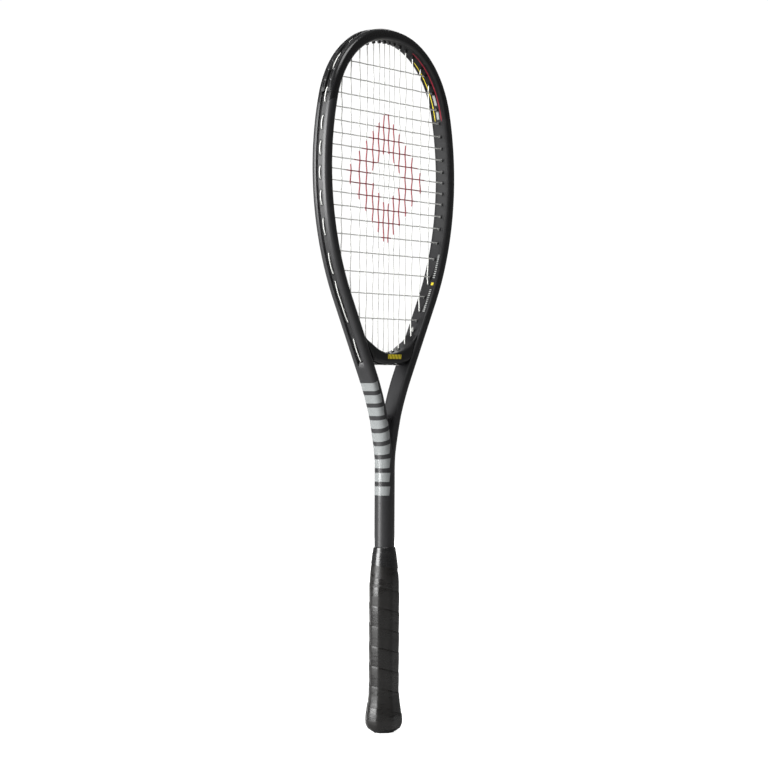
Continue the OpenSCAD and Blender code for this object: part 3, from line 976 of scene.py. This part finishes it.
def woven(start, end, marks, axis):
    """Points of one string between two mouths; marks are (place along the axis, which side of the bed)."""
    points = []
    stops = [(start[axis], 0.0)] + marks + [(end[axis], 0.0)]
    for (a, ya), (b, yb) in zip(stops, stops[1:]):
        for k in range(4):
            t = k / 4
            p = start.lerp(end, (lerp(a, b, t) - start[axis]) / (end[axis] - start[axis]))
            p.y = lerp(ya, yb, 0.5 - 0.5 * math.cos(math.pi * t))
            points.append(p)
    return points


MAIN_XS = [-x for x in reversed(MAINS)] + MAINS


def main_ends(x):
    """The route from the middle of the bed out to the groove: at the tip, and at the throat."""
    side = 1 if x > 0 else -1
    size = abs(x)
    top = through_hole(top_hole(size), side)
    if size > MAINS[2]:
        low = through_hole(low_hole(size), side)
        if size < MAINS[4] - 1:
            # This string drops through the bridge's horn before it turns out through the arm
            low = [Vector((x, 0, bridge_face(size) + 0.8))] + low[1:]
    else:
        low = [Vector((x, 0, bridge_face(size) + 0.9)), Vector((x, 0, BRIDGE_BOTTOM + 1)),
               Vector((x, 0, BRIDGE_BOTTOM - 0.6))]
    return top, low


def outer_run(a, b, at_top):
    """Between two neighbouring mains, outside the frame."""
    side = 1 if a + b > 0 else -1
    outermost = max(abs(a), abs(b))
    if at_top:
        return groove_run(top_hole(abs(a)), top_hole(abs(b)), side)
    if outermost > MAINS[2]:
        return groove_run(low_hole(abs(a)), low_hole(abs(b)), side)
    return [Vector((lerp(a, b, k / 4), 0, BRIDGE_BOTTOM - 1.0)) for k in range(5)]


def knot(parts, at, size):
    """Two tight turns of string round an anchor string, with a short cut end."""
    points = []
    for k in range(34):
        a = 2 * math.pi * k / 12
        points.append(Vector(at) + Vector((size * math.cos(a), size * math.sin(a), -1.4 + 0.085 * k)))
    points.append(points[-1] + Vector((1.0, 1.2, 1.6)))
    parts.tube(points, STRING_R, 8)


def build_mains():
    parts = Parts()
    route = []
    for i, x in enumerate(MAIN_XS):
        top, low = main_ends(x)
        marks = [(z, WEAVE * crossing_sign(i, j)) for j, z in enumerate(CROSSES)
                 if low[0].z + 2 < z < top[0].z - 2]
        if i % 2 == 0:
            bed = woven(top[0], low[0], marks, 2)
            route += list(reversed(top))[:-1] + bed + low
        else:
            bed = woven(low[0], top[0], list(reversed(marks)), 2)
            route += list(reversed(low))[:-1] + bed + top
        if i + 1 < len(MAIN_XS):
            route += outer_run(x, MAIN_XS[i + 1], at_top=i % 2 == 1)
    # Both ends are tucked a little way along the groove, past the outermost hole
    end = top_hole(MAINS[-1])
    route = list(reversed(groove_run(end, end + 9, -1))) + route + groove_run(end, end + 9, 1)
    parts.tube(route, STRING_R)
    return mesh_piece("strings_main", parts.verts, parts.faces, STRING, "main_string", "string",
                      merge=False)


def build_crosses():
    parts = Parts()
    route = []
    for j, z in enumerate(CROSSES):
        hole = side_hole(z)
        right, left = through_hole(hole, 1), through_hole(hole, -1)
        marks = [(x, -WEAVE * crossing_sign(i, j)) for i, x in enumerate(MAIN_XS)
                 if left[0].x + 2 < x < right[0].x - 2]
        if j % 2 == 0:
            bed = woven(right[0], left[0], list(reversed(marks)), 0)
            route += list(reversed(right))[:-1] + bed + left
        else:
            bed = woven(left[0], right[0], marks, 0)
            route += list(reversed(left))[:-1] + bed + right
        if j + 1 < len(CROSSES):
            route += groove_run(hole, side_hole(CROSSES[j + 1]), -1 if j % 2 == 0 else 1)
    parts.tube(route, STRING_R)
    knot(parts, hoop_point(low_hole(MAINS[4]) - 6.0, -HALF - 2.6, 0, 1), 1.25)
    return mesh_piece("strings_cross", parts.verts, parts.faces, STRING, "cross_string", "string",
                      merge=False)


build_mains()
build_crosses()


# ---------------------------------------------------------------- handle

BEVEL = 0.29


def octagon_sides(width, depth):
    """The octagon's four kinds of side, as (direction in degrees, distance)."""
    x, y = width / 2, depth / 2
    cx, cy = BEVEL * width, 0.95 * BEVEL * width
    slope = math.atan2(cx, cy)
    far = x * math.cos(slope) + (y - cy) * math.sin(slope)
    turn = math.degrees(slope)
    sides = [(0, x), (180, x), (90, y), (270, y)]
    return sides + [(turn, far), (180 - turn, far), (180 + turn, far), (-turn, far)]


GRIP_SIDES = octagon_sides(GRIP_W, GRIP_D)


def octagon_radius(angle, crisp=20.0, grow=0.0):
    """Radius of the rounded octagon in a direction."""
    total = 0.0
    for direction, far in GRIP_SIDES:
        reach = math.cos(angle - math.radians(direction)) / (far + grow)
        if reach > 0:
            total += reach ** crisp
    return total ** (-1 / crisp)


def flare_at(z):
    """How much wider the handle is than its middle, near the butt."""
    stops = [(0.0, 0.74), (1.0, 0.85), (2.4, 0.97), (4.2, 1.09), (6.4, 1.175), (9.0, 1.225), (12.0, 1.24),
             (16.0, 1.22), (22.0, 1.155), (30.0, 1.065), (37.0, 1.015), (44.0, 1.0), (400.0, 1.0)]
    for (z0, f0), (z1, f1) in zip(stops, stops[1:]):
        if z <= z1:
            return lerp(f0, f1, smooth((z - z0) / (z1 - z0)) * 0.35 + 0.65 * (z - z0) / (z1 - z0))
    return 1.0


def handle_radius(angle, z, grow=0.0):
    body = octagon_radius(angle, grow=grow) * flare_at(z)
    cone = 10.55 + grow + (TAPE_HIGH - z) * 0.125 if z > 120 else 99.0
    return (body ** -26 + cone ** -26) ** (-1 / 26)


def build_grip():
    """A strip wound up the handle: each turn's edge lies over the last one, in a spiral step."""
    pitch = 19.6
    low, high = 4.2, TAPE_LOW + 3
    rows, columns = 330, 128
    rng = random.Random(4)
    wobble = [rng.uniform(-0.35, 0.35) for _ in range(12)]

    def surface(angle, z):
        turns = (z + 0.4 * math.sin(3 * angle)) / pitch + angle / (2 * math.pi) + 0.18
        turn_no = int(math.floor(turns))
        share = turns - turn_no
        shift = wobble[turn_no % 12] * 0.02 * math.sin(angle * 2 + turn_no)
        share = min(1.0, max(0.0, share + shift))
        # Each turn rises slightly to its upper edge and then drops in a rounded step
        lift = 0.28 * between(0.05, 0.94, share) * (1 - between(0.955, 0.999, share))
        groove = -0.10 * math.exp(-((share - 1.0) / 0.022) ** 2) - 0.10 * math.exp(-(share / 0.022) ** 2)
        ease = between(3.5, 9, z) * (1 - between(high - 8, high, z))
        swell = 0.10 * math.sin(math.pi * share) + (lift - 0.14 + groove) * ease
        return handle_radius(angle, z) + swell

    # The lower edge is rolled in, so the grip has a visible thickness against the butt cap
    rings = [round_ring(columns, low - drop, lambda angle: handle_radius(angle, low) - back)
             for drop, back in ((0.3, 1.8), (0.7, 1.2), (0.5, 0.5))]
    for i in range(rows + 1):
        z = lerp(low, high, i / rows)
        rings.append(round_ring(columns, z, lambda angle: surface(angle, z)))
    return loft_piece(rings, "grip", GRIP, "grip_wrap", "grip", merge=False, smooth_angle=60)


def build_butt():
    """The butt cap's end, rounded over, with a rim round the recessed badge."""
    columns = 96
    heights = [(9.0, 1.9), (5.0, 1.5), (4.2, 1.15), (3.4, 0.75), (2.6, 0.6), (1.9, 0.9), (1.2, 1.1)]
    edge_z, edge_back = 0.6, 1.7
    recess = 9.8

    def side(angle, z, back):
        return octagon_radius(angle) * flare_at(z) - back

    rings = [round_ring(columns, z, lambda angle: side(angle, z, back))
             for z, back in heights + [(edge_z, edge_back)]]
    for share, z in ((0.93, 0.18), (0.84, 0.0)):
        rings.append(round_ring(columns, z,
                                lambda angle: lerp(recess, side(angle, edge_z, edge_back), share)))
    for r, z in ((recess, 0.0), (9.35, 0.12), (9.15, 0.5), (9.1, 0.9)):
        rings.append(round_ring(columns, z, lambda angle: r))
    return loft_piece(rings, "butt_end", BUTT_BLACK, "butt_cap", "butt", merge=False, smooth_angle=50)


def build_badge():
    """A plain disc with two raised rings."""
    profile = [(0.02, 0.42), (2.6, 0.42), (2.9, 0.30), (3.5, 0.30), (3.8, 0.42), (6.6, 0.42), (6.9, 0.30),
               (7.5, 0.30), (7.8, 0.42), (8.7, 0.42), (8.95, 0.55), (8.95, 0.9)]
    rings = [round_ring(72, z, lambda angle: r) for r, z in profile]
    return loft_piece(rings, "badge", BADGE_GREY, "butt_badge", "badge", merge=False, smooth_angle=40)


def build_tape():
    """Vinyl tape wound twice round the top of the grip, its upper edge stuck down on the shaft."""
    columns, rows = 96, 60
    on_shaft = SHAFT_R + 0.06
    rings = []
    rng = random.Random(11)
    phases = [rng.uniform(0, 6.28) for _ in range(4)]
    for i in range(rows + 1):
        ring = []
        for k in range(columns):
            angle = 2 * math.pi * k / columns
            # The lower edge runs on a slant
            low = TAPE_LOW + 0.3 - 2.2 * math.cos(angle - math.radians(-54))
            z = lerp(low, TAPE_HIGH, i / rows)
            end = TAPE_HIGH - 0.5 + 0.25 * math.sin(angle + phases[0])
            top = between(end, TAPE_HIGH, z)
            # The outer winding ends lower than the inner one, on a slant
            second = TAPE_HIGH - 5.2 + 1.0 * math.sin(angle + phases[1])
            layer = 0.22 * (1 - between(second - 0.35, second + 0.05, z))
            crease = 0.10 * math.sin(3 * angle + 0.55 * z + phases[2]) * math.exp(-((z - second) / 2.4) ** 2)
            ripple = 0.035 * math.sin(2.9 * z + 1.5 * math.sin(angle + phases[3]))
            r = handle_radius(angle, z, grow=0.25) + layer + crease + ripple
            r = max(lerp(r, on_shaft, top), on_shaft)
            ring.append(Vector((r * math.cos(angle), r * math.sin(angle), z)))
        rings.append(ring)
    lower = [Vector((p.x * 0.975, p.y * 0.975, p.z + 0.15)) for p in rings[0]]
    return loft_piece([lower] + rings, "tape", TAPE, "finishing_tape", "tape", merge=False, smooth_angle=60)


build_grip()
build_butt()
build_badge()
build_tape()


def dress(node, material):
    """Gives a CAD part that stays its own material."""
    piece = bpy.data.objects[node]
    piece.data.materials.clear()
    piece.data.materials.append(material)


for cad_node, cad_material in (("handle_pallet_left", FOAM), ("handle_pallet_right", FOAM),
                               ("butt_cap_staples", STEEL), ("grip_staple", STEEL)):
    dress(cad_node, cad_material)


# ---------------------------------------------------------------- stage, light and camera

# The backdrop and floor look this bright, but give the object only a little of that light
BACKDROP, SOFT_LIGHT, FLOOR_GLOW = 1.03, 0.155, 0.93


def stage_material():
    n = Nodes("stage_white")
    n.object_mm()
    soft = n.noise(n.place, 0.004, 2.0)
    path = n.new("ShaderNodeLightPath")
    n.shader.inputs["Emission Color"].default_value = (1, 1, 1, 1)
    n.put(n.shader.inputs["Emission Strength"], n.ramp(path.outputs["Is Camera Ray"], 0.0, FLOOR_GLOW))
    return n.finish(n.mix(soft, (0.55, 0.55, 0.55), (0.58, 0.58, 0.58)), 0.9, specular=0.1)


def build_stage():
    size = 12.0
    mesh = bpy.data.meshes.new("floor")
    corners = [(-size, -size, 0), (size, -size, 0), (size, size, 0), (-size, size, 0)]
    mesh.from_pydata(corners, [], [(0, 1, 2, 3)])
    mesh.materials.append(stage_material())
    floor = bpy.data.objects.new("floor", mesh)
    bpy.context.scene.collection.objects.link(floor)


def area_light(name, place, target, size, power, size_y=None):
    data = bpy.data.lights.new(name, "AREA")
    data.energy = power
    data.shape = "RECTANGLE"
    data.size = size
    data.size_y = size_y or size
    light = bpy.data.objects.new(name, data)
    light.location = place
    light.rotation_euler = (Vector(target) - Vector(place)).to_track_quat("-Z", "Y").to_euler()
    bpy.context.scene.collection.objects.link(light)
    return light


def build_lights():
    """A white studio: a bright backdrop, a tall soft light to the left, weaker ones above and behind."""
    bpy.context.scene.view_settings.view_transform = "Standard"
    world = bpy.data.worlds.new("studio")
    bpy.context.scene.world = world
    world.use_nodes = True
    tree = world.node_tree
    background = tree.nodes["Background"]
    background.inputs["Color"].default_value = (1, 1, 1, 1)
    path = tree.nodes.new("ShaderNodeLightPath")
    strength = tree.nodes.new("ShaderNodeMapRange")
    strength.inputs["To Min"].default_value = SOFT_LIGHT
    strength.inputs["To Max"].default_value = BACKDROP
    tree.links.new(path.outputs["Is Camera Ray"], strength.inputs["Value"])
    tree.links.new(strength.outputs["Result"], background.inputs["Strength"])
    middle = (0, 0, 0.4)
    area_light("key", (-2.2, 1.1, 0.6), middle, 1.3, 160, 2.4)
    area_light("top", (-0.4, -0.3, 2.7), middle, 1.4, 38)
    area_light("back", (1.9, 1.5, 1.0), middle, 1.3, 26, 1.8)


def build_camera():
    # Round from the front, metres away from the racket and above the floor, and the camera's own tilt
    azimuth, distance, height, roll = math.radians(-54.1), 2.087, 0.34005, 0.0046
    look = Vector((-math.sin(azimuth), math.cos(azimuth), 0))
    data = bpy.data.cameras.new("camera")
    data.lens = 100
    data.sensor_width = 36
    data.shift_x = -0.001484375
    data.clip_end = 50
    camera = bpy.data.objects.new("camera", data)
    level = Matrix.Rotation(azimuth, 4, "Z") @ Matrix.Rotation(math.pi / 2, 4, "X")
    turn = level @ Matrix.Rotation(roll, 4, "Z")
    camera.rotation_euler = turn.to_euler()
    camera.location = -look * distance + Vector((0, 0, height))
    bpy.context.scene.collection.objects.link(camera)
    bpy.context.scene.camera = camera


build_stage()
build_lights()
build_camera()
